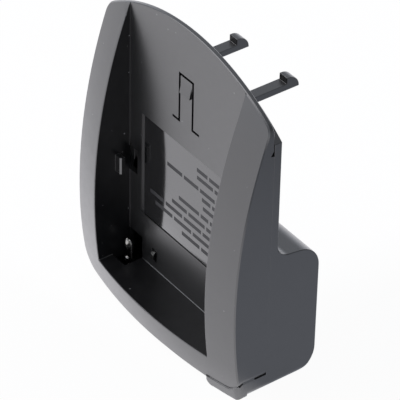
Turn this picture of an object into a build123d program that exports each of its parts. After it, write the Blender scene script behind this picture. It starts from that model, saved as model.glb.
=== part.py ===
"""Charging cradle for a slide-in camera battery: a domed front shell with an open bay,
a stepped rear shell with two snap hooks, and the contacts and small board between them.

Frame: X across, Y from front to back, Z up. Z = 0 is the surface the cradle stands on and
Y = 0 is the floor of the battery bay. Millimetres.
"""

from build123d import *
import os
from math import sqrt

os.makedirs("parts", exist_ok=True)

# Front shell, outline seen from the front
bezel_width = 55.2
bezel_bottom = 2.2
bottom_bow = 0.4
bezel_top = 75.4
top_arc_radius = 48.4
top_corner_radius = 3.2
bottom_corner_radius = 4.8
foot_corner_radius = 3.6
bezel_edge = 0.25

# Front shell, dome of the front surface
dome_rise = 10.8
dome_height = 23.7
dome_radius = 130.5
crown_radius = 115.0
front_margin = 2.0

# Front shell, walls
floor_thickness = 1.2
skin = 1.8
side_wall = 1.6
bay_wall = 1.5
hollow_top = 61.0

# Battery bay
bay_width = 39.0
bay_bottom = 8.0
bay_corner_radius = 0.3

# Snap tongue in the bay floor
tongue_width = 4.5
tongue_base = 51.6
tongue_length = 12.2
tongue_flare = 2.3
slit = 0.6
nub_height = 2.6
nub_drop = 1.9
nub_rise = 0.5
nub_inset = 0.25

# Lugs on the bay walls, and the windows behind them
lug_reach = 1.9
lug_thickness = 1.15
lug_length = 4.2
lug_height = 32.2
lug_standoff = 2.6
lug_bevel = 0.35
window_width = 2.75
window_margin = 1.0
window_relief = 0.9

# Label recess and film
label_width = 30.6
label_height = 25.8
label_bottom = 20.2
label_recess = 0.4
film_thickness = 0.2
film_clearance = 0.2
film_side_margin = 0.9

# Corner openings for the power contacts
port_width = 4.6
port_height = 5.5
port_reach = 4.5

# Rear shell
rear_wall = 1.8
bottom_wall = 1.8
rear_inset = 3.0
block_depth = 10.95
block_top = 32.75
block_slope = 1.6
block_top_radius = 6.0
block_bottom_radius = 6.0
block_root_radius = 3.4
rest_edge_radius = 2.1
seam_height = 4.45
seam_gap = 0.06
tray_setback = 1.1
relief_depth = 0.9
relief_margin = 1.2

# Notch at each upper end of the side seam
notch_height = 60.3
notch_length = 1.7
notch_lift = 0.25
notch_width = 0.9
notch_depth = 1.0

# Corner foot under the bezel, on the right seen from the front
foot_width = 8.9
foot_back = -3.6
foot_proud = 0.2
foot_end_radius = 1.4
foot_base_radius = 1.3
foot_side_radius = 1.9

# Small open pocket between the foot and the bezel's corner, and the open end of the seam
pocket_start = -6.0
pocket_length = 1.15
pocket_drop = 0.75
pocket_depth = 0.9
reveal_start = -1.7
reveal_height = 0.2
reveal_depth = 0.6

# Snap hooks
hook_spacing = 16.8
hook_width = 2.6
hook_thickness = 1.5
hook_height = 58.9
hook_reach = 18.2
barb_length = 3.15
barb_rise = 1.4
barb_radius = 2.8

# Case screws
screw_diameter = 2.2
screw_head_diameter = 4.2
screw_head_height = 1.6
screw_length = 7.0
screw_height = 14.0
screw_seat = 1.6
screw_clearance = 0.15
screw_fit = 0.03
screw_tip_gap = 0.4
drive_length = 2.4
drive_width = 0.5
drive_depth = 0.7
boss_diameter = 4.6
tube_wall = 1.1

# Circuit board and its posts
board_width = 38.0
board_height = 19.0
board_bottom = 5.5
board_thickness = 1.2
board_corner_radius = 1.0
post_length = 4.2
post_diameter = 4.4
post_inset = 3.4
post_gap = 1.4
board_screw_diameter = 2.0
board_screw_head = 3.6
board_screw_head_height = 1.3
board_screw_length = 3.4

# Battery contacts
leaf = 0.3
contact_width = 2.6
contact_inset = 2.85
contact_reach = 2.4
contact_bend = 1.2
contact_rise = 5.2
contact_end_radius = 1.2
contact_gap = 0.6
contact_foot = 3.0
sense_width = 1.0
sense_place = -10.4
sense_height = 12.6
sense_reach = 0.5
sense_span = 2.2
sense_bend = 0.8
sense_slot_margin = 0.3

# Terminals towards the base unit
terminal_count = 4
terminal_pitch = 7.0
terminal_width = 3.0
terminal_length = 8.0
terminal_thickness = 0.4
terminal_recess = 0.6
terminal_height = 17.0
terminal_foot = 3.0
terminal_clearance = 0.15

# Parts on the board
chip_width = 5.0
chip_height = 4.0
chip_rise = 1.5
chip_level = 17.5
capacitor_diameter = 5.0
capacitor_length = 4.4
capacitor_edge = 0.5
capacitor_offset = 8.0
capacitor_level = 17.0
resistor_width = 3.2
resistor_height = 1.6
resistor_rise = 0.6
resistor_offset = -7.0
resistor_level = 18.0
resistor_pitch = 3.0
diode_width = 4.3
diode_height = 2.6
diode_rise = 2.1
diode_offset = 5.0
diode_level = 9.5

# Places worked out from the sizes above
half_width = bezel_width / 2
bay_half = bay_width / 2
parting = floor_thickness
upper_back = parting + rear_wall
block_back = upper_back + block_depth
block_inside = block_back - rear_wall
dome_axis = dome_radius - dome_rise
front_reach = dome_rise + front_margin
top_arc_centre = bezel_top - top_arc_radius
rear_arc_radius = top_arc_radius - rear_inset
boss_place = (bay_half + bay_wall + half_width - side_wall) / 2
board_back = block_inside - post_length
board_front = board_back - board_thickness
contact_place = bay_half - contact_inset
screw_places = [(-boss_place, screw_height), (boss_place, screw_height)]
terminal_top = terminal_height + terminal_length / 2
terminal_span = (terminal_count - 1) / 2 * terminal_pitch
terminal_places = [i * terminal_pitch - terminal_span for i in range(terminal_count)]
post_span = terminal_span + terminal_width / 2 + post_gap + post_diameter / 2
post_height = board_bottom + board_height - post_inset
post_places = [(-post_span, post_height), (post_span, post_height)]
rest_post_height = board_bottom + post_inset
rest_post_places = [(-post_span, rest_post_height), (post_span, rest_post_height)]


def facing(depth):
    """Front-view plane at a depth: local x is X, local y is Z, extrusions run to the front."""
    return Plane.XZ.offset(-depth)


def arc_height(radius, offset):
    """Height above the arc's centre at a distance to the side."""
    return sqrt(radius**2 - offset**2)


def dome(inset):
    """Double-curved barrel whose near side is the front surface, moved inwards by inset."""
    span = half_width + side_wall
    crown = crown_radius - inset
    apex = dome_axis + dome_radius - inset
    end = apex - crown + arc_height(crown, span)
    with BuildPart() as barrel:
        with BuildSketch(Plane.XY.offset(dome_height)):
            with BuildLine():
                ThreePointArc((-span, end), (0, apex), (span, end))
                Polyline((span, end), (span, dome_axis), (-span, dome_axis), (-span, end))
            make_face()
        revolve(axis=Axis((0, dome_axis, dome_height), (1, 0, 0)))
    return barrel.part


def bezel_prism(grow):
    """Prism over the bezel's front outline, moved outwards by grow."""
    side = half_width + grow
    shoulder = top_arc_centre + arc_height(top_arc_radius + grow, side)
    low = bezel_bottom - grow
    with BuildPart() as prism:
        with BuildSketch(facing(parting)):
            with BuildLine():
                ThreePointArc((-side, shoulder), (0, bezel_top + grow), (side, shoulder))
                Line((side, shoulder), (side, low))
                ThreePointArc((side, low), (0, low - bottom_bow), (-side, low))
                Line((-side, low), (-side, shoulder))
            make_face()
            fillet(vertices().group_by(Axis.Y)[-1], top_corner_radius + grow)
            fillet(vertices().sort_by_distance((-side, low))[0], bottom_corner_radius + grow)
            fillet(vertices().sort_by_distance((side, low))[0], foot_corner_radius + grow)
        extrude(amount=front_reach + parting)
    return prism.part


def bezel_body(grow):
    """Bezel as a full body: outline, dome and broken front edge, moved outwards by grow."""
    with BuildPart() as body:
        add(bezel_prism(grow))
        add(dome(-grow), mode=Mode.INTERSECT)
        front_face = faces().sort_by(Axis.Y)[0]
        chamfer(front_face.edges(), bezel_edge)
    return body.part


# Hollow behind the rims, open to the back and below the bay
with BuildPart() as rim_hollow:
    with BuildSketch(facing(parting)):
        with Locations((0, hollow_top / 2)):
            Rectangle(2 * (half_width - side_wall), hollow_top)
        with Locations((0, seam_height / 2)):
            Rectangle(bezel_width + 2 * side_wall, seam_height)
    extrude(amount=front_reach + parting)
    add(dome(skin), mode=Mode.INTERSECT)
    with BuildSketch(facing(parting)):
        with Locations((0, bay_bottom - bay_wall)):
            Rectangle(bay_width + 2 * bay_wall, bezel_top, align=(Align.CENTER, Align.MIN))
    extrude(amount=front_reach + parting, mode=Mode.SUBTRACT)

# Bosses that take the case screws, trimmed to the inside of the skin
with BuildPart() as front_bosses:
    with BuildSketch(facing(parting)):
        with Locations(*screw_places):
            Circle(boss_diameter / 2)
    extrude(amount=front_reach + parting)
    add(dome(skin / 2), mode=Mode.INTERSECT)

# Space of the battery bay, open at the front and at the top, with rounded inner corners
with BuildPart() as bay_space:
    with BuildSketch(Plane.XZ):
        with Locations((0, bay_bottom)):
            Rectangle(bay_width, bezel_top, align=(Align.CENTER, Align.MIN))
    extrude(amount=front_reach)
    bay_floor = faces().sort_by(Axis.Y)[-1]
    fillet(bay_floor.edges().sort_by(Axis.Z)[:3], bay_corner_radius)

with BuildPart() as front_shell:
    add(bezel_body(0))
    add(rim_hollow.part, mode=Mode.SUBTRACT)
    add(front_bosses.part)
    add(bay_space.part, mode=Mode.SUBTRACT)
    # pilot holes
    with BuildSketch(facing(parting)):
        with Locations(*screw_places):
            Circle(screw_diameter / 2 + screw_fit)
    extrude(amount=screw_length, mode=Mode.SUBTRACT)
    # slit round the tongue
    with BuildSketch(Plane.XZ):
        with Locations((-tongue_width / 2, tongue_base), (tongue_width / 2, tongue_base)):
            Rectangle(slit, tongue_length, align=(Align.CENTER, Align.MIN))
        with Locations((0, tongue_base + tongue_length)):
            Rectangle(tongue_width + slit, slit, align=(Align.CENTER, Align.MAX))
        with Locations((tongue_width / 2, tongue_base)):
            Rectangle(tongue_flare, slit, align=(Align.MIN, Align.MIN))
        with Locations((-tongue_width / 2, tongue_base)):
            Rectangle(tongue_flare, slit, align=(Align.MAX, Align.MIN))
    extrude(amount=-floor_thickness, mode=Mode.SUBTRACT)
    # wedge on the tongue: a ramp for the battery, with the catching step at its lower end
    nub_top = tongue_base + tongue_length - nub_drop
    with BuildSketch(Plane.YZ):
        with BuildLine():
            Polyline(
                (0, nub_top),
                (-nub_rise, nub_top - nub_height),
                (0, nub_top - nub_height),
                close=True,
            )
        make_face()
    extrude(amount=(tongue_width - slit) / 2 - nub_inset, both=True)
    # windows behind the lugs
    with BuildSketch(facing(parting)):
        with Locations((-bay_half, lug_height)):
            Rectangle(
                window_width, lug_length + 2 * window_margin, align=(Align.MIN, Align.CENTER)
            )
        with Locations((bay_half, lug_height)):
            Rectangle(
                window_width, lug_length + 2 * window_margin, align=(Align.MAX, Align.CENTER)
            )
    extrude(amount=parting + bay_corner_radius, mode=Mode.SUBTRACT)
    # lugs
    with BuildSketch(Plane.XY.offset(lug_height)):
        with BuildLine():
            lug_back = -lug_standoff
            lug_front = lug_back - lug_thickness
            lug_tip = bay_half - lug_reach
            Polyline(
                (bay_half, lug_back),
                (lug_tip, lug_back),
                (lug_tip, lug_front + lug_bevel),
                (lug_tip + lug_bevel, lug_front),
                (bay_half, lug_front),
                close=True,
            )
        make_face()
        mirror(about=Plane.YZ)
    extrude(amount=lug_length / 2, both=True)
    # corner openings for the power contacts: through the floor and the bay's bottom wall
    with BuildSketch(facing(parting)):
        for side, align in ((-bay_half, Align.MIN), (bay_half, Align.MAX)):
            with Locations((side, bay_bottom - bay_wall)):
                Rectangle(port_width, port_height + bay_wall, align=(align, Align.MIN))
    extrude(amount=port_reach + parting, mode=Mode.SUBTRACT)
    # slot for the sense contact
    with BuildSketch(Plane.XZ):
        with Locations((sense_place, sense_height - sense_span / 2)):
            Rectangle(
                sense_width + 2 * sense_slot_margin,
                sense_span + leaf + 2 * sense_slot_margin,
            )
    extrude(amount=-floor_thickness, mode=Mode.SUBTRACT)
    # label recess
    with BuildSketch(Plane.XZ):
        with Locations((0, label_bottom)):
            Rectangle(label_width, label_height, align=(Align.CENTER, Align.MIN))
    extrude(amount=-label_recess, mode=Mode.SUBTRACT)
    # notches where the side seam ends
    for side in (-1, 1):
        with BuildSketch(Plane.YZ.offset(side * half_width)):
            with BuildLine():
                Polyline(
                    (parting, notch_height),
                    (parting, notch_height + notch_length),
                    (parting - notch_width, notch_height + notch_lift),
                    close=True,
                )
            make_face()
        extrude(amount=-side * notch_depth, mode=Mode.SUBTRACT)
front_shell.part.label = "front_shell"
export_step(front_shell.part, "parts/front_shell.step")

with BuildPart() as label_film:
    with BuildSketch(facing(label_recess)):
        with Locations((0, label_bottom + label_height / 2)):
            Rectangle(label_width - 2 * film_side_margin, label_height - 2 * film_clearance)
    extrude(amount=film_thickness)
label_film.part.label = "label_film"
export_step(label_film.part, "parts/label_film.step")

# Forward part of the rear shell's bottom tray, behind the bezel's skin
with BuildPart() as tray_front:
    with BuildSketch(facing(parting)):
        Rectangle(bezel_width, seam_height - seam_gap, align=(Align.CENTER, Align.MIN))
    extrude(amount=front_reach + parting)
    add(dome(skin + seam_gap), mode=Mode.INTERSECT)

# Lip of the tray under the bezel's lower edge
with BuildPart() as tray_lip:
    with BuildSketch(facing(parting)):
        Rectangle(bezel_width, seam_height - seam_gap, align=(Align.CENTER, Align.MIN))
    extrude(amount=front_reach + parting)
    add(dome(tray_setback), mode=Mode.INTERSECT)
    add(bezel_prism(seam_gap), mode=Mode.SUBTRACT)

# Foot that fills the corner under the bezel, follows its dome and covers its broken edge
with BuildPart() as corner_foot:
    with BuildSketch(facing(foot_back)):
        with Locations((half_width, 0)):
            Rectangle(foot_width, seam_height - seam_gap, align=(Align.MAX, Align.MIN))
    extrude(amount=front_reach + foot_back)
    add(dome(-foot_proud), mode=Mode.INTERSECT)
    fillet(edges().group_by(Axis.X)[-1].sort_by(Axis.Y)[0], foot_side_radius)
    with BuildSketch(facing(foot_back)):
        with Locations((half_width, 0)):
            Rectangle(foot_width, seam_height, align=(Align.MAX, Align.MIN))
        fillet(vertices().sort_by_distance((half_width - foot_width, 0))[0], foot_end_radius)
        fillet(vertices().sort_by_distance((half_width, 0))[0], foot_base_radius)
    extrude(amount=front_reach + foot_back, mode=Mode.INTERSECT)
    add(bezel_prism(seam_gap - bezel_edge), mode=Mode.SUBTRACT)
    add(bezel_body(seam_gap), mode=Mode.SUBTRACT)

with BuildPart() as rear_shell:
    # side profile: thin upper plate and the stepped block that enters the base unit
    block_shoulder = block_top + block_slope
    with BuildSketch(Plane.YZ):
        with BuildLine():
            Polyline(
                (parting, 0),
                (block_back, 0),
                (block_back, block_top),
                (upper_back, block_shoulder),
                (upper_back, bezel_top),
                (parting, bezel_top),
                close=True,
            )
        make_face()
        fillet(vertices().sort_by_distance((block_back, 0))[0], block_bottom_radius)
        fillet(vertices().sort_by_distance((block_back, block_top))[0], block_top_radius)
        fillet(vertices().sort_by_distance((upper_back, block_shoulder))[0], block_root_radius)
    extrude(amount=half_width, both=True)
    add(tray_front.part)
    add(tray_lip.part)
    # hollow of the block and of the tray
    with BuildSketch(Plane.YZ):
        with BuildLine():
            Polyline(
                (parting, bottom_wall),
                (block_inside, bottom_wall),
                (block_inside, block_top - rear_wall),
                (parting, block_top - rear_wall),
                close=True,
            )
        make_face()
        fillet(
            vertices().sort_by_distance((block_inside, bottom_wall))[0],
            block_bottom_radius - rear_wall,
        )
        fillet(
            vertices().sort_by_distance((block_inside, block_top))[0],
            block_top_radius - rear_wall,
        )
    extrude(amount=half_width - side_wall, both=True, mode=Mode.SUBTRACT)
    with BuildSketch(facing(parting)):
        with Locations((0, bottom_wall)):
            Rectangle(
                2 * (half_width - side_wall), seam_height, align=(Align.CENTER, Align.MIN)
            )
    extrude(amount=front_reach, mode=Mode.SUBTRACT)
    # outline seen from the front: arched top, rounded lower edges
    with BuildSketch(facing(block_back)):
        with BuildLine():
            shoulder = top_arc_centre + arc_height(rear_arc_radius, half_width)
            ThreePointArc(
                (-half_width, shoulder),
                (0, top_arc_centre + rear_arc_radius),
                (half_width, shoulder),
            )
            Polyline(
                (half_width, shoulder), (half_width, 0), (-half_width, 0), (-half_width, shoulder)
            )
        make_face()
        fillet(vertices().group_by(Axis.Y)[0], rest_edge_radius)
    extrude(amount=block_back + front_reach, mode=Mode.INTERSECT)
    add(corner_foot.part)
    # pocket beside the foot and the open end of the lower seam
    with BuildSketch(Plane.YZ.offset(half_width)):
        with BuildLine():
            Polyline(
                (pocket_start, seam_height),
                (pocket_start + pocket_length, seam_height),
                (pocket_start + pocket_length / 2, seam_height - pocket_drop),
                close=True,
            )
        make_face()
    extrude(amount=-pocket_depth, mode=Mode.SUBTRACT)
    with BuildSketch(Plane.YZ.offset(half_width)):
        with Locations((reveal_start, seam_height)):
            Rectangle(parting - reveal_start, reveal_height, align=(Align.MIN, Align.MAX))
    extrude(amount=-reveal_depth, mode=Mode.SUBTRACT)
    # tubes for the case screws and posts for the board
    with BuildSketch(facing(block_inside)):
        with Locations(*screw_places):
            Circle(screw_head_diameter / 2 + screw_clearance + tube_wall)
    extrude(amount=block_inside - parting)
    with BuildSketch(facing(block_inside)):
        with Locations(*post_places, *rest_post_places):
            Circle(post_diameter / 2)
    extrude(amount=post_length)
    with BuildSketch(facing(block_back)):
        with Locations(*screw_places):
            Circle(screw_head_diameter / 2 + screw_clearance)
    extrude(amount=block_back - parting - screw_seat, mode=Mode.SUBTRACT)
    with BuildSketch(facing(block_back)):
        with Locations(*screw_places):
            Circle(screw_diameter / 2 + screw_clearance)
    extrude(amount=block_back, mode=Mode.SUBTRACT)
    with BuildSketch(facing(board_back + board_screw_length)):
        with Locations(*post_places):
            Circle(board_screw_diameter / 2 + screw_fit)
    extrude(amount=board_screw_length, mode=Mode.SUBTRACT)
    # relief behind the tongue
    with BuildSketch(facing(parting)):
        with Locations((0, tongue_base - relief_margin)):
            Rectangle(
                tongue_width + 2 * tongue_flare + 2 * relief_margin,
                tongue_length + 2 * relief_margin,
                align=(Align.CENTER, Align.MIN),
            )
    extrude(amount=-relief_depth, mode=Mode.SUBTRACT)
    # reliefs behind the windows
    with BuildSketch(facing(parting)):
        for side, align in ((-bay_half, Align.MIN), (bay_half, Align.MAX)):
            with Locations((side, lug_height)):
                Rectangle(
                    window_width, lug_length + 2 * window_margin, align=(align, Align.CENTER)
                )
    extrude(amount=-window_relief, mode=Mode.SUBTRACT)
    # recesses and slots for the terminals
    with BuildSketch(facing(block_back)):
        with Locations(*[(x, terminal_height) for x in terminal_places]):
            Rectangle(
                terminal_width + 2 * terminal_clearance,
                terminal_length + 2 * terminal_clearance,
            )
    extrude(amount=terminal_recess, mode=Mode.SUBTRACT)
    with BuildSketch(facing(block_back)):
        with Locations(*[(x, terminal_top + terminal_clearance) for x in terminal_places]):
            Rectangle(
                terminal_width + 2 * terminal_clearance,
                terminal_thickness + 2 * terminal_clearance,
                align=(Align.CENTER, Align.MAX),
            )
    extrude(amount=2 * rear_wall, mode=Mode.SUBTRACT)
    # hooks that latch into the base unit
    hook_top = hook_height + hook_thickness
    hook_tip = upper_back + hook_reach
    hook_root = parting + rear_wall / 2
    barb = hook_tip - barb_length
    for place in (-hook_spacing / 2, hook_spacing / 2):
        with BuildSketch(Plane.YZ.offset(place)):
            with BuildLine():
                Polyline(
                    (hook_tip, hook_height),
                    (hook_root, hook_height),
                    (hook_root, hook_top),
                    (barb, hook_top),
                    (barb, hook_top + barb_rise),
                    (hook_tip, hook_top + barb_rise),
                    close=True,
                )
            make_face()
            fillet(vertices().sort_by_distance((hook_tip, hook_top + barb_rise))[0], barb_radius)
        extrude(amount=hook_width / 2, both=True)
rear_shell.part.label = "rear_shell"
export_step(rear_shell.part, "parts/rear_shell.step")


def battery_contact(place):
    """Power leaf: soldered foot, run under the bay, upright blade with a rounded end."""
    level = bay_bottom - bay_wall - contact_gap - leaf / 2
    with BuildPart() as contact:
        with BuildSketch(Plane.YZ.offset(place)):
            with BuildLine():
                FilletPolyline(
                    (board_front - leaf / 2, level + contact_foot),
                    (board_front - leaf / 2, level),
                    (-contact_reach, level),
                    (-contact_reach, bay_bottom + contact_rise),
                    radius=contact_bend,
                )
            trace(line_width=leaf)
        extrude(amount=contact_width / 2, both=True)
        fillet(edges().filter_by(Axis.Y).group_by(Axis.Z)[-1], contact_end_radius)
    return contact.part


for name, place in (("contact_left", -contact_place), ("contact_right", contact_place)):
    power_contact = battery_contact(place)
    power_contact.label = name
    export_step(power_contact, f"parts/{name}.step")

with BuildPart() as contact_sense:
    with BuildSketch(Plane.YZ.offset(sense_place)):
        with BuildLine():
            FilletPolyline(
                (board_front - leaf / 2, sense_height + contact_foot),
                (board_front - leaf / 2, sense_height),
                (-sense_reach, sense_height),
                (-sense_reach, sense_height - sense_span),
                (floor_thickness, sense_height - sense_span),
                radius=sense_bend,
            )
        trace(line_width=leaf)
    extrude(amount=sense_width / 2, both=True)
contact_sense.part.label = "contact_sense"
export_step(contact_sense.part, "parts/contact_sense.step")

with BuildPart() as circuit_board:
    with BuildSketch(facing(board_back)):
        with Locations((0, board_bottom)):
            Rectangle(board_width, board_height, align=(Align.CENTER, Align.MIN))
        fillet(vertices(), board_corner_radius)
        with Locations(*post_places):
            Circle(board_screw_diameter / 2 + screw_clearance, mode=Mode.SUBTRACT)
    extrude(amount=board_thickness)
circuit_board.part.label = "circuit_board"
export_step(circuit_board.part, "parts/circuit_board.step")


def screws(places, seat, towards_front, shank, diameter, head_diameter, head_height):
    """Group of equal pan-head screws that point to the front or to the back."""
    sign = 1 if towards_front else -1
    with BuildPart() as group:
        with BuildSketch(facing(seat)):
            with Locations(*places):
                Circle(head_diameter / 2)
        extrude(amount=-sign * head_height)
        with BuildSketch(facing(seat)):
            with Locations(*places):
                Circle(diameter / 2)
        extrude(amount=sign * shank)
        with BuildSketch(facing(seat + sign * head_height)):
            with Locations(*places):
                Rectangle(drive_length, drive_width)
                Rectangle(drive_width, drive_length)
        extrude(amount=sign * drive_depth, mode=Mode.SUBTRACT)
    return group.part


case_screws = screws(
    screw_places, parting + screw_seat, True, screw_seat + screw_length - screw_tip_gap,
    screw_diameter, screw_head_diameter, screw_head_height,
)
case_screws.label = "case_screws"
export_step(case_screws, "parts/case_screws.step")

board_screws = screws(
    post_places, board_front, False, board_thickness + board_screw_length - screw_tip_gap,
    board_screw_diameter, board_screw_head, board_screw_head_height,
)
board_screws.label = "board_screws"
export_step(board_screws, "parts/board_screws.step")

# Terminals: foot on the board, run through the slot, pad in the recess of the back face
for index, place in enumerate(terminal_places, 1):
    pad_back = block_back - terminal_recess + terminal_thickness
    with BuildPart() as terminal:
        with BuildSketch(Plane.YZ.offset(place)):
            with Locations((board_back, terminal_top)):
                Rectangle(
                    pad_back - board_back, terminal_thickness, align=(Align.MIN, Align.MAX)
                )
                Rectangle(terminal_thickness, terminal_foot, align=(Align.MIN, Align.MAX))
            with Locations((pad_back, terminal_top)):
                Rectangle(terminal_thickness, terminal_length, align=(Align.MAX, Align.MAX))
        extrude(amount=terminal_width / 2, both=True)
    terminal.part.label = f"base_terminal_{index}"
    export_step(terminal.part, f"parts/base_terminal_{index}.step")


def on_board(width, height, rise, places):
    """Rectangular parts soldered to the front of the board."""
    with BuildPart() as parts:
        with BuildSketch(facing(board_front)):
            with Locations(*places):
                Rectangle(width, height)
        extrude(amount=rise)
    return parts.part


control_chip = on_board(chip_width, chip_height, chip_rise, [(0, chip_level)])
control_chip.label = "control_chip"
export_step(control_chip, "parts/control_chip.step")

diode = on_board(diode_width, diode_height, diode_rise, [(diode_offset, diode_level)])
diode.label = "diode"
export_step(diode, "parts/diode.step")

resistor_levels = (resistor_level, resistor_level - resistor_pitch)
resistors = on_board(
    resistor_width,
    resistor_height,
    resistor_rise,
    [(resistor_offset, level) for level in resistor_levels],
)
resistors.label = "resistors"
export_step(resistors, "parts/resistors.step")

with BuildPart() as capacitor:
    with BuildSketch(facing(board_front)):
        with Locations((capacitor_offset, capacitor_level)):
            Circle(capacitor_diameter / 2)
    extrude(amount=capacitor_length)
    chamfer(edges().group_by(Axis.Y)[0], capacitor_edge)
capacitor.part.label = "capacitor"
export_step(capacitor.part, "parts/capacitor.step")
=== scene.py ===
import bpy
import math
from mathutils import Matrix, Vector


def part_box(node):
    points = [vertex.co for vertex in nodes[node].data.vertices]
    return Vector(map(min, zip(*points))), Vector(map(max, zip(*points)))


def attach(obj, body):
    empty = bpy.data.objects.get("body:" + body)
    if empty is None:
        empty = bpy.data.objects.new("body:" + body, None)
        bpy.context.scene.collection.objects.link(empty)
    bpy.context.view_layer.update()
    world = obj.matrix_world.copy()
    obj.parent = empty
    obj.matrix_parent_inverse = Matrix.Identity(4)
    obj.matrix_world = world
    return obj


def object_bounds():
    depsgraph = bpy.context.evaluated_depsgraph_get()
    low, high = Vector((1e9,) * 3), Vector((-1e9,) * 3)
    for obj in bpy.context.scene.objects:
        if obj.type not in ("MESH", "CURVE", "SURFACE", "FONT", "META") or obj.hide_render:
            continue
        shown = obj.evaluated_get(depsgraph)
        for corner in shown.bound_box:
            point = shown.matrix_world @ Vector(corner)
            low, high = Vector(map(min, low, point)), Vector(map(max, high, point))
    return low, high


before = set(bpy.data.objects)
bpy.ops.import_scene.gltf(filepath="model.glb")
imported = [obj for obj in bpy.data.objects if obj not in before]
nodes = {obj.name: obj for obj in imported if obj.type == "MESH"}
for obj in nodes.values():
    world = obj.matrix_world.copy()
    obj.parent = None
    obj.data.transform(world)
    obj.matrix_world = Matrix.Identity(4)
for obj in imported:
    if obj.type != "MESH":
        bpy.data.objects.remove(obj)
cadLow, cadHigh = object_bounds()
scene = bpy.context.scene
scene.view_settings.view_transform = "Standard"
mm = 0.001
print("frame loaded with", len(nodes), "pieces")


def addNode(tree, kind, settings=None, values=None):
    node = tree.nodes.new(kind)
    for key, value in (settings or {}).items():
        setattr(node, key, value)
    for key, value in (values or {}).items():
        node.inputs[key].default_value = value
    return node


# one calculation, its operands are sockets or plain numbers
def work(tree, operation, *operands, clamp=False):
    node = addNode(tree, "ShaderNodeMath", {"operation": operation, "use_clamp": clamp})
    for index, operand in enumerate(operands):
        if isinstance(operand, (int, float)):
            node.inputs[index].default_value = operand
        else:
            tree.links.new(operand, node.inputs[index])
    return node.outputs[0]


def startMaterial(name, values):
    material = bpy.data.materials.new(name)
    material.use_nodes = True
    tree = material.node_tree
    tree.nodes.clear()
    output = addNode(tree, "ShaderNodeOutputMaterial")
    shader = addNode(tree, "ShaderNodeBsdfPrincipled", None, values)
    tree.links.new(shader.outputs["BSDF"], output.inputs["Surface"])
    place = addNode(tree, "ShaderNodeTexCoord").outputs["Object"]
    return material, tree, shader, place


def grainNoise(tree, place, grainSize, detail=2.0):
    noise = addNode(tree, "ShaderNodeTexNoise", None, {"Scale": 1.0 / grainSize, "Detail": detail})
    tree.links.new(place, noise.inputs["Vector"])
    return noise.outputs["Fac"]


def spread(tree, source, low, high, start=0.3, end=0.7):
    ramp = addNode(tree, "ShaderNodeMapRange", None,
                   {"From Min": start, "From Max": end, "To Min": low, "To Max": high})
    tree.links.new(source, ramp.inputs["Value"])
    return ramp.outputs["Result"]


# inputs 6 and 7 and output 2 are the colour sockets of this node
def blendColours(tree, amount, first, second):
    mix = addNode(tree, "ShaderNodeMix", {"data_type": "RGBA"})
    for socket, colour in ((mix.inputs[6], first), (mix.inputs[7], second)):
        if isinstance(colour, tuple):
            socket.default_value = colour + (1.0,)
        else:
            tree.links.new(colour, socket)
    tree.links.new(amount, mix.inputs[0])
    return mix.outputs[2]


def addBump(tree, shader, height, depth):
    bump = addNode(tree, "ShaderNodeBump", None, {"Strength": 1.0, "Distance": depth})
    tree.links.new(height, bump.inputs["Height"])
    tree.links.new(bump.outputs["Normal"], shader.inputs["Normal"])


def dress(piece, material):
    piece.material_slots[0].material = material


# camera as solved from the photo, lengths in metres
cameraLook = {
    "lens": 265.9,
    "azimuth": 52.952,
    "elevation": 37.439,
    "roll": 1.196,
    "distance": 0.58629,
    "aim": (0.01666, -0.00856, 0.04711),
    "clip": (0.01, 50.0),
}


def makeCamera():
    turn = math.radians(cameraLook["azimuth"])
    tilt = math.radians(cameraLook["elevation"])
    right = Vector((math.cos(turn), math.sin(turn), 0.0))
    back = Vector((math.sin(turn) * math.cos(tilt), -math.cos(turn) * math.cos(tilt), math.sin(tilt)))
    rolled = Matrix.Rotation(math.radians(cameraLook["roll"]), 3, back)
    up = rolled @ back.cross(right)
    right = rolled @ right
    spot = Vector(cameraLook["aim"]) + back * cameraLook["distance"]
    lens = bpy.data.cameras.new("camera")
    lens.lens = cameraLook["lens"]
    lens.clip_start, lens.clip_end = cameraLook["clip"]
    camera = bpy.data.objects.new("camera", lens)
    scene.collection.objects.link(camera)
    camera.matrix_world = Matrix((
        (right.x, up.x, back.x, spot.x),
        (right.y, up.y, back.y, spot.y),
        (right.z, up.z, back.z, spot.z),
        (0.0, 0.0, 0.0, 1.0),
    ))
    scene.camera = camera


makeCamera()
print("camera set")

# white table with painted shadow and shade in its colour, pale sky and one soft lamp, lengths in metres and
# turns in degrees
studio = {
    "floorHalf": 4.0,
    "floorDrop": 0.0002,
    "floorColour": (0.975, 0.965, 1.0),
    # painted shadow: the table's colour turns to this grey beside and behind the right side
    "paintedShadowGrey": (0.305, 0.32, 0.36),
    "paintedShadowTurn": 60.0,
    "paintedShadowRange": (0.009, 0.017),
    "paintedShadowFar": 0.75,                 # share of the painted shadow grey that is left far away
    "paintedShadowFarRange": (0.07, 0.1),
    # painted shade: the table's colour fades to these levels far away and in front of the object
    "paintedFalloffWhite": 0.9,
    "paintedFalloffRange": (0.05, 0.2),
    "paintedFrontShadeTurn": 101.0,
    "paintedFrontShadeRange": (-0.016, -0.008),
    "paintedFrontShadeWhite": 0.74,
    "floorLiftSeen": 0.96,
    "floorLiftMirrored": 0.9,
    "skyColour": (0.95, 0.99, 1.08),
    "skyLight": 0.75,
    "skyLow": 0.8,                   # mirrored sky at the horizon
    "skyHigh": 0.31,                 # and from skyTop up
    "skyTop": 0.32,
    "darkTurn": 42.0,
    "darkSide": 0.7,
    "darkRange": (0.3, 0.85),
    "keyPower": 22.0,
    "keySize": 2.5,
    "keySpot": (-0.85, -0.95, 1.95),
    "keyAim": (0.0, 0.0, 0.0),
    "keyColour": (1.0, 0.985, 1.02),
}


# how far a place lies along a level direction
def along(tree, split, degrees):
    turn = math.radians(degrees)
    return work(tree, "ADD", work(tree, "MULTIPLY", split.outputs["X"], math.cos(turn)),
                work(tree, "MULTIPLY", split.outputs["Y"], math.sin(turn)))


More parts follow.
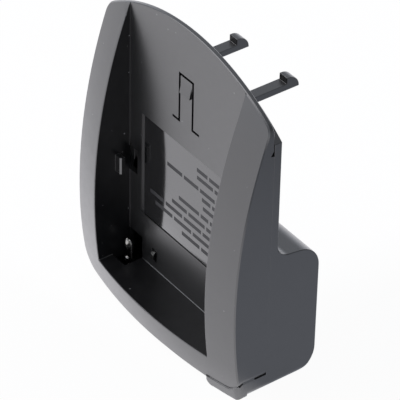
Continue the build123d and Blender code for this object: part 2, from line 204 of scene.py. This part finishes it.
def makeFloor():
    mesh = bpy.data.meshes.new("floor")
    half = studio["floorHalf"]
    corners = [(-half, -half, 0), (half, -half, 0), (half, half, 0), (-half, half, 0)]
    mesh.from_pydata(corners, [], [(0, 1, 2, 3)])
    floor = bpy.data.objects.new("floor", mesh)
    floor.location.z = -studio["floorDrop"]
    scene.collection.objects.link(floor)
    # the floor's material carries the painted shadow and painted shade of the table
    material = bpy.data.materials.new("floorPaintedShade")
    material.use_nodes = True
    tree = material.node_tree
    tree.nodes.clear()
    output = addNode(tree, "ShaderNodeOutputMaterial")
    matt = addNode(tree, "ShaderNodeBsdfDiffuse")
    glow = addNode(tree, "ShaderNodeEmission", None, {"Strength": 1.0})
    path = addNode(tree, "ShaderNodeLightPath")
    seen = work(tree, "MAXIMUM", path.outputs["Is Camera Ray"], path.outputs["Is Transmission Ray"])
    place = addNode(tree, "ShaderNodeTexCoord").outputs["Object"]
    split = addNode(tree, "ShaderNodeSeparateXYZ")
    tree.links.new(place, split.inputs[0])
    # painted shadow: the table's colour turns grey beside and behind the right side
    away = along(tree, split, studio["paintedShadowTurn"])
    shadowShare = work(tree, "MULTIPLY", spread(tree, away, 0.0, 1.0, *studio["paintedShadowRange"]),
                spread(tree, split.outputs["X"], 0.0, 1.0, 0.0, studio["paintedShadowRange"][1]))
    shadowColour = addNode(tree, "ShaderNodeVectorMath", {"operation": "SCALE"})
    shadowColour.inputs[0].default_value = studio["paintedShadowGrey"]
    shadowLeft = spread(tree, away, 1.0, studio["paintedShadowFar"], *studio["paintedShadowFarRange"])
    tree.links.new(shadowLeft, shadowColour.inputs["Scale"])
    shadedTone = blendColours(tree, shadowShare, studio["floorColour"], shadowColour.outputs[0])
    # painted shade: the table's colour fades a little far away, and in front of the object
    reach = addNode(tree, "ShaderNodeVectorMath", {"operation": "LENGTH"})
    tree.links.new(place, reach.inputs[0])
    farShade = spread(tree, reach.outputs["Value"], 1.0, studio["paintedFalloffWhite"], *studio["paintedFalloffRange"])
    ahead = along(tree, split, studio["paintedFrontShadeTurn"])
    frontShade = spread(tree, ahead, studio["paintedFrontShadeWhite"], 1.0, *studio["paintedFrontShadeRange"])
    shadedFloorTone = addNode(tree, "ShaderNodeVectorMath", {"operation": "SCALE"})
    tree.links.new(shadedTone, shadedFloorTone.inputs[0])
    tree.links.new(work(tree, "MULTIPLY", farShade, frontShade), shadedFloorTone.inputs["Scale"])
    tree.links.new(shadedFloorTone.outputs[0], matt.inputs["Color"])
    tree.links.new(blendColours(tree, seen, shadedFloorTone.outputs[0], (1.0, 1.0, 1.0)), glow.inputs["Color"])
    seenLift = work(tree, "MULTIPLY", seen, studio["floorLiftSeen"])
    mirroredLift = work(tree, "MULTIPLY", path.outputs["Is Glossy Ray"], studio["floorLiftMirrored"])
    mix = addNode(tree, "ShaderNodeMixShader")
    tree.links.new(work(tree, "MAXIMUM", seenLift, mirroredLift), mix.inputs[0])
    tree.links.new(matt.outputs[0], mix.inputs[1])
    tree.links.new(glow.outputs[0], mix.inputs[2])
    tree.links.new(mix.outputs[0], output.inputs["Surface"])
    mesh.materials.append(material)


def makeSky():
    world = bpy.data.worlds.new("studioSky")
    scene.world = world
    world.use_nodes = True
    tree = world.node_tree
    tree.nodes.clear()
    output = addNode(tree, "ShaderNodeOutputWorld")
    path = addNode(tree, "ShaderNodeLightPath")
    split = addNode(tree, "ShaderNodeSeparateXYZ")
    tree.links.new(addNode(tree, "ShaderNodeTexCoord").outputs["Generated"], split.inputs[0])
    mirrored = spread(tree, split.outputs["Z"], studio["skyLow"], studio["skyHigh"], 0.0, studio["skyTop"])
    # the room is darker behind the right side
    away = along(tree, split, studio["darkTurn"])
    mirrored = work(tree, "MULTIPLY", mirrored,
                    spread(tree, away, 1.0, 1.0 - studio["darkSide"], *studio["darkRange"]))
    change = work(tree, "SUBTRACT", mirrored, studio["skyLight"])
    level = work(tree, "MULTIPLY", path.outputs["Is Glossy Ray"], change)
    level = work(tree, "ADD", level, studio["skyLight"])
    seen = work(tree, "MAXIMUM", path.outputs["Is Camera Ray"], path.outputs["Is Transmission Ray"])
    level = work(tree, "MAXIMUM", level, seen)
    shade = addNode(tree, "ShaderNodeBackground")
    tree.links.new(blendColours(tree, seen, studio["skyColour"], (1.0, 1.0, 1.0)), shade.inputs["Color"])
    tree.links.new(level, shade.inputs["Strength"])
    tree.links.new(shade.outputs[0], output.inputs["Surface"])


def makeLamp():
    lamp = bpy.data.lights.new("keyLamp", "AREA")
    lamp.energy = studio["keyPower"]
    lamp.size = studio["keySize"]
    lamp.color = studio["keyColour"]
    holder = bpy.data.objects.new("keyLamp", lamp)
    scene.collection.objects.link(holder)
    holder.location = studio["keySpot"]
    beam = Vector(studio["keyAim"]) - Vector(studio["keySpot"])
    holder.rotation_euler = beam.to_track_quat("-Z", "Y").to_euler()


makeFloor()
makeSky()
makeLamp()
print("studio set")

# rounding of the moulded and stamped edges, in millimetres
# each zone is a low corner, a high corner and the rounding inside it, later zones win
edgeRounding = {
    "front_shell": {
        "plain": 0.0,
        "zones": [
            ((-19.9, -14.0, 7.0), (19.9, -0.1, 76.0), 0.28),     # rim edges round the bay
            ((-19.9, -0.1, 7.0), (19.9, 0.3, 9.0), 0.025),       # foot of the bay floor
            ((-29.0, 0.9, 61.2), (29.0, 1.5, 76.0), 0.4),        # back edge of the crown
            ((-16.0, -0.1, 19.5), (16.0, 0.6, 46.5), 0.0),       # label recess
            ((-5.5, -1.0, 51.0), (5.5, 1.3, 64.5), 0.0),         # tongue and its slit
            ((-19.9, -4.5, 28.0), (-15.5, 1.3, 36.5), 0.05),     # left lug and window
            ((15.5, -4.5, 28.0), (19.9, 1.3, 36.5), 0.05),       # right lug and window
            ((-19.9, -5.0, 5.0), (-14.0, 1.3, 14.5), 0.05),      # left contact opening
            ((14.0, -5.0, 5.0), (19.9, 1.3, 14.5), 0.05),        # right contact opening
        ],
    },
    "rear_shell": {
        "plain": 0.14,
        "zones": [
            ((-29.0, 1.1, 0.0), (29.0, 1.3, 76.0), 0.06),        # seam to the front shell
            ((-29.0, -14.0, 0.0), (29.0, 1.3, 5.0), 0.03),       # tray
            ((17.0, -14.0, 0.0), (29.0, 1.3, 5.0), 0.0),         # foot, rounded as moulded
            ((17.0, -14.0, 1.7), (26.6, -6.3, 5.0), 0.14),       # its upper edge in front
            ((27.0, 3.2, 0.0), (29.0, 14.5, 40.0), 0.22),        # block sides
            ((-29.0, 3.2, 0.0), (-27.0, 14.5, 40.0), 0.22),
            ((-26.0, 12.0, 10.0), (26.0, 14.5, 23.0), 0.08),     # terminal recesses
        ],
    },
    "contact_left": {"plain": 0.07, "zones": []},
    "contact_right": {"plain": 0.07, "zones": []},
    "contact_sense": {"plain": 0.05, "zones": []},
}

# how edges are found and rounded, lengths in millimetres and angles in degrees
edgeLook = {
    "weldGap": 0.002,
    "flatAngle": 0.3,
    "roundAngle": 26.0,      # sharper edges are rounded
    "shadeAngle": 20.0,      # sharper edges stay sharp in the shading
    "segments": 5,
    "runOutLength": 1.1,     # depth of bay wall over which the rim's rounding grows
    "runOutShift": -0.8,     # where that begins, in such lengths
    "bayFloor": -0.02,       # edges behind it are rounded as the zones say
}


def startGroup(name):
    group = bpy.data.node_groups.new(name, "GeometryNodeTree")
    group.interface.new_socket("Geometry", in_out="INPUT", socket_type="NodeSocketGeometry")
    group.interface.new_socket("Geometry", in_out="OUTPUT", socket_type="NodeSocketGeometry")
    return group, group.nodes.new("NodeGroupInput").outputs[0], group.nodes.new("NodeGroupOutput").inputs[0]


def weldGroup():
    group, start, end = startGroup("weldFaces")
    clear = addNode(group, "GeometryNodeRemoveAttribute", None, {"Name": "custom_normal"})
    weld = addNode(group, "GeometryNodeMergeByDistance", None, {"Distance": edgeLook["weldGap"] * mm})
    group.links.new(start, clear.inputs["Geometry"])
    group.links.new(clear.outputs[0], weld.inputs["Geometry"])
    group.links.new(weld.outputs[0], end)
    return group


# writes how much of the widest rounding each sharp edge gets
def markGroup(name, look):
    group, start, end = startGroup(name + "Edges")
    widest = max([look["plain"]] + [zone[2] for zone in look["zones"]])
    place = addNode(group, "ShaderNodeSeparateXYZ")
    group.links.new(group.nodes.new("GeometryNodeInputPosition").outputs[0], place.inputs[0])
    share = look["plain"] / widest
    for low, high, width in look["zones"]:
        inside = None
        for axis in range(3):
            middle = (low[axis] + high[axis]) / 2 * mm
            reach = (high[axis] - low[axis]) / 2 * mm
            gap = work(group, "ABSOLUTE", work(group, "SUBTRACT", place.outputs[axis], middle))
            near = work(group, "LESS_THAN", gap, reach)
            inside = near if inside is None else work(group, "MULTIPLY", inside, near)
        change = work(group, "MULTIPLY", work(group, "SUBTRACT", width / widest, share), inside)
        share = work(group, "ADD", share, change)
    # the bay wall runs out at the top, and its rounding with it
    if name == "front_shell":
        growth = -1.0 / (edgeLook["runOutLength"] * mm)
        wall = work(group, "MULTIPLY_ADD", place.outputs["Y"], growth, edgeLook["runOutShift"], clamp=True)
        behind = work(group, "GREATER_THAN", place.outputs["Y"], edgeLook["bayFloor"] * mm)
        share = work(group, "MULTIPLY", share, work(group, "MAXIMUM", wall, behind))
    angle = group.nodes.new("GeometryNodeInputMeshEdgeAngle").outputs["Unsigned Angle"]
    sharp = work(group, "GREATER_THAN", angle, math.radians(edgeLook["roundAngle"]))
    store = addNode(group, "GeometryNodeStoreNamedAttribute", {"data_type": "FLOAT", "domain": "EDGE"},
                    {"Name": "bevel_weight_edge"})
    group.links.new(start, store.inputs["Geometry"])
    group.links.new(work(group, "MULTIPLY", share, sharp), store.inputs["Value"])
    group.links.new(store.outputs[0], end)
    return group, widest * mm


# keeps the rounded piece in its own box and shades it smooth, with sharp edges left sharp
def smoothGroup():
    group, start, end = startGroup("smoothFaces")
    place = group.nodes.new("GeometryNodeInputPosition").outputs[0]
    floorOf = addNode(group, "ShaderNodeVectorMath", {"operation": "MAXIMUM"})
    floorOf.inputs[1].default_value = cadLow
    roofOf = addNode(group, "ShaderNodeVectorMath", {"operation": "MINIMUM"})
    roofOf.inputs[1].default_value = cadHigh
    group.links.new(place, floorOf.inputs[0])
    group.links.new(floorOf.outputs[0], roofOf.inputs[0])
    keep = group.nodes.new("GeometryNodeSetPosition")
    group.links.new(start, keep.inputs["Geometry"])
    group.links.new(roofOf.outputs[0], keep.inputs["Position"])
    faces = addNode(group, "GeometryNodeSetShadeSmooth", {"domain": "FACE"})
    edges = addNode(group, "GeometryNodeSetShadeSmooth", {"domain": "EDGE"}, {"Shade Smooth": False})
    angle = group.nodes.new("GeometryNodeInputMeshEdgeAngle").outputs["Unsigned Angle"]
    steep = addNode(group, "FunctionNodeCompare", {"data_type": "FLOAT", "operation": "GREATER_THAN"},
                    {"B": math.radians(edgeLook["shadeAngle"])})
    group.links.new(keep.outputs[0], faces.inputs["Geometry"])
    group.links.new(faces.outputs[0], edges.inputs["Geometry"])
    group.links.new(angle, steep.inputs["A"])
    group.links.new(steep.outputs["Result"], edges.inputs["Selection"])
    group.links.new(edges.outputs[0], end)
    return group


weldFaces = weldGroup()
smoothFaces = smoothGroup()


def roundEdges(name):
    piece = nodes[name]
    marks, widest = markGroup(name, edgeRounding[name])
    piece.modifiers.new("weld", "NODES").node_group = weldFaces
    flat = piece.modifiers.new("flat", "DECIMATE")
    flat.decimate_type = "DISSOLVE"
    flat.angle_limit = math.radians(edgeLook["flatAngle"])
    piece.modifiers.new("marks", "NODES").node_group = marks
    bevel = piece.modifiers.new("bevel", "BEVEL")
    bevel.width = widest
    bevel.segments = edgeLook["segments"]
    bevel.limit_method = "WEIGHT"
    bevel.use_clamp_overlap = False
    piece.modifiers.new("smooth", "NODES").node_group = smoothFaces
    normals = piece.modifiers.new("normals", "WEIGHTED_NORMAL")
    normals.mode = "FACE_AREA"
    normals.keep_sharp = True


for pieceName in edgeRounding:
    roundEdges(pieceName)
print("edges rounded")

# satin black moulding of both shells, sizes of the grain and dust in metres, places in millimetres
caseLook = {
    "dark": (0.0055, 0.0055, 0.006),
    "light": (0.009, 0.009, 0.0095),
    "roughness": (0.3, 0.38),
    "coatRoughness": 0.29,
    "coatIndex": 2.2,
    "index": 1.78,
    "gloss": (0.5, 0.17),          # outside, and on the dull walls
    "bottomDull": 0.96,            # how dull the bottom of the bay is
    "bayHalf": 19.65,
    "bayBottom": 8.4,
    "bayFloor": 0.02,              # dull walls end here
    "nearFloor": -1.0,
    "wallFacing": (0.8, 0.3),      # least sideways facing of a dull wall, and of one near the bay floor
    "bottomFacing": 0.8,
    "barbFacing": -0.6,
    "barbStart": 12.0,
    "cloudSize": 0.004,
    "glossCloud": 0.0016,
    "grainSize": 0.00022,
    "grainDepth": 0.000003,
    "dustColour": (0.25, 0.25, 0.25),
    "dustSpacing": 0.0013,
    "dustSize": 0.14,
    "dustShare": 0.07,
}


# one where the moulding is dull, on the bay walls and the faces of the hooks' barbs, and nothing elsewhere
def dullWalls(tree, place):
    spot = addNode(tree, "ShaderNodeSeparateXYZ")
    tree.links.new(place, spot.inputs[0])
    facing = addNode(tree, "ShaderNodeSeparateXYZ")
    tree.links.new(addNode(tree, "ShaderNodeNewGeometry").outputs["Normal"], facing.inputs[0])
    inBay = work(tree, "LESS_THAN", work(tree, "ABSOLUTE", spot.outputs["X"]), caseLook["bayHalf"] * mm)
    nearFloor = work(tree, "GREATER_THAN", spot.outputs["Y"], caseLook["nearFloor"] * mm)
    plainLimit, nearLimit = caseLook["wallFacing"]
    limit = work(tree, "MULTIPLY_ADD", nearFloor, nearLimit - plainLimit, plainLimit)
    sideways = work(tree, "GREATER_THAN", work(tree, "ABSOLUTE", facing.outputs["X"]), limit)
    upwards = work(tree, "GREATER_THAN", facing.outputs["Z"], caseLook["bottomFacing"])
    low = work(tree, "LESS_THAN", spot.outputs["Z"], caseLook["bayBottom"] * mm)
    bottom = work(tree, "MULTIPLY", work(tree, "MULTIPLY", upwards, low), caseLook["bottomDull"])
    walls = work(tree, "MAXIMUM", sideways, bottom)
    front = work(tree, "LESS_THAN", spot.outputs["Y"], caseLook["bayFloor"] * mm)
    walls = work(tree, "MULTIPLY", work(tree, "MULTIPLY", inBay, walls), front)
    barb = work(tree, "MULTIPLY", work(tree, "LESS_THAN", facing.outputs["Y"], caseLook["barbFacing"]),
                work(tree, "GREATER_THAN", spot.outputs["Y"], caseLook["barbStart"] * mm))
    return work(tree, "MAXIMUM", walls, barb)


# a few fine specks of dust
def dustSpecks(tree, place):
    cells = addNode(tree, "ShaderNodeTexVoronoi", {"feature": "F1"},
                    {"Scale": 1.0 / caseLook["dustSpacing"], "Randomness": 1.0})
    tree.links.new(place, cells.inputs["Vector"])
    tint = addNode(tree, "ShaderNodeSeparateColor")
    tree.links.new(cells.outputs["Color"], tint.inputs[0])
    size = work(tree, "MULTIPLY", tint.outputs[1], caseLook["dustSize"])
    spot = work(tree, "LESS_THAN", cells.outputs["Distance"], size)
    some = work(tree, "LESS_THAN", tint.outputs[0], caseLook["dustShare"])
    return work(tree, "MULTIPLY", spot, some)


def makeCasePlastic():
    material, tree, shader, place = startMaterial("casePlastic", {
        "IOR": caseLook["index"],
        "Coat Roughness": caseLook["coatRoughness"], "Coat IOR": caseLook["coatIndex"]})
    cloud = grainNoise(tree, place, caseLook["cloudSize"], detail=3.0)
    colour = blendColours(tree, spread(tree, cloud, 0.0, 1.0), caseLook["dark"], caseLook["light"])
    colour = blendColours(tree, dustSpecks(tree, place), colour, caseLook["dustColour"])
    tree.links.new(colour, shader.inputs["Base Color"])
    walls = dullWalls(tree, place)
    tree.links.new(work(tree, "SUBTRACT", 1.0, walls), shader.inputs["Coat Weight"])
    outside, inside = caseLook["gloss"]
    tree.links.new(spread(tree, walls, outside, inside, 0.0, 1.0), shader.inputs["Specular IOR Level"])
    low, high = caseLook["roughness"]
    glossCloud = grainNoise(tree, place, caseLook["glossCloud"], detail=4.0)
    tree.links.new(spread(tree, glossCloud, low, high), shader.inputs["Roughness"])
    addBump(tree, shader, grainNoise(tree, place, caseLook["grainSize"]), caseLook["grainDepth"])
    return material


casePlastic = makeCasePlastic()
dress(nodes["front_shell"], casePlastic)
dress(nodes["rear_shell"], casePlastic)
print("shells dressed")

# moulded lip round the lower right corner of the front, in millimetres
# the strip closes a short part of the seam beside it
lipLook = {
    "radius": 0.14,
    "endShare": 0.3,        # share of the radius at the ends
    "endGrowth": 0.35,      # and how much each point adds
    "path": [
        (18.6, -7.55, 2.24), (19.95, -7.31, 2.26), (21.53, -7.02, 2.29), (22.92, -6.75, 2.33),
        (24.13, -6.51, 2.38), (24.76, -6.38, 2.47), (25.18, -6.31, 2.58), (25.59, -6.25, 2.76),
        (25.96, -6.2, 2.99), (26.31, -6.16, 3.27), (26.61, -6.14, 3.6), (26.88, -6.02, 3.95),
        (27.12, -5.8, 4.25), (27.25, -5.5, 4.5), (27.33, -5.15, 4.75), (27.4, -4.75, 5.0),
        (27.45, -4.35, 5.3),
    ],
    "strip": [(27.595, 4.25), (27.5, 5.1), (27.25, 5.1), (27.25, 4.25)],
    "stripRun": (-4.75, -1.8),
}


def finishPlastic(name, points, faces, smooth):
    mesh = bpy.data.meshes.new(name)
    mesh.from_pydata([tuple(length * mm for length in point) for point in points], [], faces)
    mesh.polygons.foreach_set("use_smooth", [smooth] * len(mesh.polygons))
    mesh.materials.append(casePlastic)
    piece = bpy.data.objects.new(name, mesh)
    scene.collection.objects.link(piece)
    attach(piece, "root")


# round bead along a path, thinning out at its ends
def makeLip(around=10):
    path = [Vector(point) for point in lipLook["path"]]
    points = []
    faces = []
    last = len(path) - 1
    for index, spot in enumerate(path):
        ahead = (path[min(index + 1, last)] - path[max(index - 1, 0)]).normalized()
        out = ahead.cross(Vector((0.0, 1.0, 0.0))).normalized()
        front = out.cross(ahead)
        growth = lipLook["endGrowth"] * min(index, last - index)
        radius = lipLook["radius"] * min(1.0, lipLook["endShare"] + growth)
        for step in range(around):
            turn = 2 * math.pi * step / around
            points.append(spot + (out * math.cos(turn) + front * math.sin(turn)) * radius)
    for index in range(last):
        row = index * around
        for step in range(around):
            after = (step + 1) % around
            faces.append((row + step, row + around + step, row + around + after, row + after))
    faces.append(tuple(range(around)))
    faces.append(tuple(reversed(range(last * around, (last + 1) * around))))
    finishPlastic("corner_lip", points, faces, True)


# short bar with the strip's section
def makeStrip():
    corners = len(lipLook["strip"])
    points = [(x, run, z) for run in lipLook["stripRun"] for x, z in lipLook["strip"]]
    faces = [tuple(range(corners)), tuple(reversed(range(corners, 2 * corners)))]
    for step in range(corners):
        after = (step + 1) % corners
        faces.append((step, step + corners, after + corners, after))
    finishPlastic("seam_strip", points, faces, False)


makeLip()
makeStrip()
print("corner lip added")

# glossy film in the bay floor, cloud sizes in metres
filmLook = {
    "dark": (0.006, 0.006, 0.0065),
    "light": (0.01, 0.01, 0.0105),
    "roughness": (0.07, 0.1),
    "coatRoughness": 0.06,
    "coatIndex": 2.2,
    "index": 1.85,
    "cloudSize": 0.006,
    "glossCloud": 0.003,
}


def makeFilm():
    material, tree, shader, place = startMaterial("labelFilm", {
        "IOR": filmLook["index"], "Coat Weight": 1.0,
        "Coat Roughness": filmLook["coatRoughness"], "Coat IOR": filmLook["coatIndex"]})
    cloud = grainNoise(tree, place, filmLook["cloudSize"], detail=3.0)
    tree.links.new(blendColours(tree, spread(tree, cloud, 0.0, 1.0), filmLook["dark"], filmLook["light"]),
                   shader.inputs["Base Color"])
    low, high = filmLook["roughness"]
    glossCloud = grainNoise(tree, place, filmLook["glossCloud"], detail=4.0)
    tree.links.new(spread(tree, glossCloud, low, high), shader.inputs["Roughness"])
    return material


dress(nodes["label_film"], makeFilm())

# plain printed bars on the film, in millimetres, with the ink's cloud size in metres
# each row is a height and the spans it covers
barLook = {
    "thickness": 0.012,
    "height": 0.95,
    "dark": (0.034, 0.034, 0.036),
    "light": (0.048, 0.048, 0.05),
    "roughness": (0.3, 0.4),
    "index": 1.5,
    "cloudSize": 0.0008,
    "rows": [
        (43.0, [(3.8, 7.4), (8.0, 12.6)]),
        (41.1, [(3.9, 9.3), (9.9, 11.6)]),
        (38.4, [(-6.4, -1.2), (-0.6, 4.4), (5.0, 10.0)]),
        (36.5, [(5.7, 8.6), (9.2, 12.9)]),
        (34.4, [(6.1, 11.2)]),
        (32.1, [(-2.2, 4.8), (5.4, 8.0), (8.6, 12.8)]),
        (29.9, [(-4.6, 0.6), (1.2, 6.8), (7.4, 12.2)]),
        (27.8, [(-12.3, -7.4), (-6.8, -1.0), (-0.4, 5.6), (6.2, 12.6)]),
        (25.7, [(-10.5, -4.4), (-3.8, 2.2), (2.8, 8.4), (9.0, 11.8)]),
        (23.6, [(-1.0, 5.2), (5.8, 12.4)]),
    ],
}


def addBox(points, faces, low, high):
    first = len(points)
    for z in (low[2], high[2]):
        points += [(low[0], low[1], z), (high[0], low[1], z), (high[0], high[1], z), (low[0], high[1], z)]
    for face in ((3, 2, 1, 0), (4, 5, 6, 7), (0, 1, 5, 4), (1, 2, 6, 5), (2, 3, 7, 6), (3, 0, 4, 7)):
        faces.append(tuple(first + corner for corner in face))


def makeBars():
    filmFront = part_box("label_film")[0][1]
    points = []
    faces = []
    for level, spans in barLook["rows"]:
        for start, end in spans:
            low = (start * mm, filmFront - barLook["thickness"] * mm, (level - barLook["height"] / 2) * mm)
            high = (end * mm, filmFront, (level + barLook["height"] / 2) * mm)
            addBox(points, faces, low, high)
    mesh = bpy.data.meshes.new("label_bars")
    mesh.from_pydata(points, [], faces)
    bars = bpy.data.objects.new("label_bars", mesh)
    scene.collection.objects.link(bars)
    material, tree, shader, place = startMaterial("labelInk", {"IOR": barLook["index"]})
    cloud = grainNoise(tree, place, barLook["cloudSize"], detail=3.0)
    tree.links.new(blendColours(tree, spread(tree, cloud, 0.0, 1.0), barLook["dark"], barLook["light"]),
                   shader.inputs["Base Color"])
    low, high = barLook["roughness"]
    tree.links.new(spread(tree, cloud, low, high), shader.inputs["Roughness"])
    mesh.materials.append(material)
    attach(bars, "root")


makeBars()
print("film dressed and printed")

# colours and finishes of the metal and the inside pieces, grain in metres
finishLook = {
    "contactNickel": {
        "dark": (0.5, 0.49, 0.46), "light": (0.66, 0.65, 0.62),
        "roughness": (0.1, 0.2), "metal": 1.0, "grain": 0.0004,
    },
    # painted shade: the sense contact is the power leaves' nickel made darker, standing in for the shade it
    # lies in
    "senseNickelPaintedShade": {
        "dark": (0.1, 0.1, 0.095), "light": (0.2, 0.2, 0.19),
        "roughness": (0.25, 0.4), "metal": 1.0, "grain": 0.0004,
    },
    "terminalGold": {
        "dark": (0.72, 0.52, 0.24), "light": (0.83, 0.64, 0.34),
        "roughness": (0.18, 0.3), "metal": 1.0, "grain": 0.0004,
    },
    "screwZinc": {
        "dark": (0.45, 0.45, 0.47), "light": (0.6, 0.6, 0.62),
        "roughness": (0.25, 0.4), "metal": 1.0, "grain": 0.0005,
    },
    "canAluminium": {
        "dark": (0.66, 0.67, 0.69), "light": (0.78, 0.79, 0.8),
        "roughness": (0.25, 0.36), "metal": 1.0, "grain": 0.0006,
    },
    "boardGreen": {
        "dark": (0.022, 0.11, 0.045), "light": (0.035, 0.16, 0.07),
        "roughness": (0.25, 0.38), "metal": 0.0, "grain": 0.0015,
    },
    "componentBlack": {
        "dark": (0.014, 0.014, 0.014), "light": (0.026, 0.026, 0.026),
        "roughness": (0.45, 0.6), "metal": 0.0, "grain": 0.0004,
    },
}
fineGrain = 0.6    # grain of the roughness, as a share of the colour's


def makeFinish(name):
    look = finishLook[name]
    material, tree, shader, place = startMaterial(name, {"Metallic": look["metal"]})
    cloud = grainNoise(tree, place, look["grain"], detail=3.0)
    tree.links.new(blendColours(tree, spread(tree, cloud, 0.0, 1.0), look["dark"], look["light"]),
                   shader.inputs["Base Color"])
    low, high = look["roughness"]
    glossCloud = grainNoise(tree, place, look["grain"] * fineGrain, detail=3.0)
    tree.links.new(spread(tree, glossCloud, low, high), shader.inputs["Roughness"])
    return material


wearing = {
    "contactNickel": ("contact_left", "contact_right"),
    "senseNickelPaintedShade": ("contact_sense",),
    "terminalGold": ("base_terminal_1", "base_terminal_2", "base_terminal_3", "base_terminal_4"),
    "screwZinc": ("case_screws", "board_screws"),
    "canAluminium": ("capacitor",),
    "boardGreen": ("circuit_board",),
    "componentBlack": ("control_chip", "diode", "resistors"),
}
for finishName, pieceNames in wearing.items():
    finish = makeFinish(finishName)
    for pieceName in pieceNames:
        dress(nodes[pieceName], finish)
print("metal and inside pieces dressed")

# dimples pressed into the power leaves, in millimetres on the left leaf
dimpleLook = {
    "upper": {"spot": (-17.0, -2.5, 11.7), "reach": (0.8, 0.5, 1.5)},
    "lower": {"spot": (-17.1, -2.5, 7.75), "reach": (0.75, 0.45, 0.6)},
}


def addDimple(points, faces, spot, reach, rings=12, around=24):
    first = len(points)
    for ring in range(1, rings):
        tilt = math.pi * ring / rings
        for step in range(around):
            turn = 2 * math.pi * step / around
            points.append((spot[0] + reach[0] * math.sin(tilt) * math.cos(turn),
                           spot[1] + reach[1] * math.sin(tilt) * math.sin(turn),
                           spot[2] + reach[2] * math.cos(tilt)))
    top = len(points)
    points.append((spot[0], spot[1], spot[2] + reach[2]))
    points.append((spot[0], spot[1], spot[2] - reach[2]))
    for step in range(around):
        after = (step + 1) % around
        faces.append((top, first + step, first + after))
        for ring in range(rings - 2):
            row = first + ring * around
            faces.append((row + step, row + around + step, row + around + after, row + after))
        row = first + (rings - 2) * around
        faces.append((top + 1, row + after, row + step))


def makeDimples(name, side, material):
    points = []
    faces = []
    for dimple in dimpleLook.values():
        spot = [length * mm for length in dimple["spot"]]
        spot[0] *= side
        addDimple(points, faces, spot, [length * mm for length in dimple["reach"]])
    mesh = bpy.data.meshes.new(name)
    mesh.from_pydata(points, [], faces)
    mesh.polygons.foreach_set("use_smooth", [True] * len(mesh.polygons))
    mesh.materials.append(material)
    dimples = bpy.data.objects.new(name, mesh)
    scene.collection.objects.link(dimples)
    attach(dimples, "root")


leafFinish = nodes["contact_left"].material_slots[0].material
makeDimples("leaf_dimples_left", 1.0, leafFinish)
makeDimples("leaf_dimples_right", -1.0, leafFinish)
print("leaves dimpled")
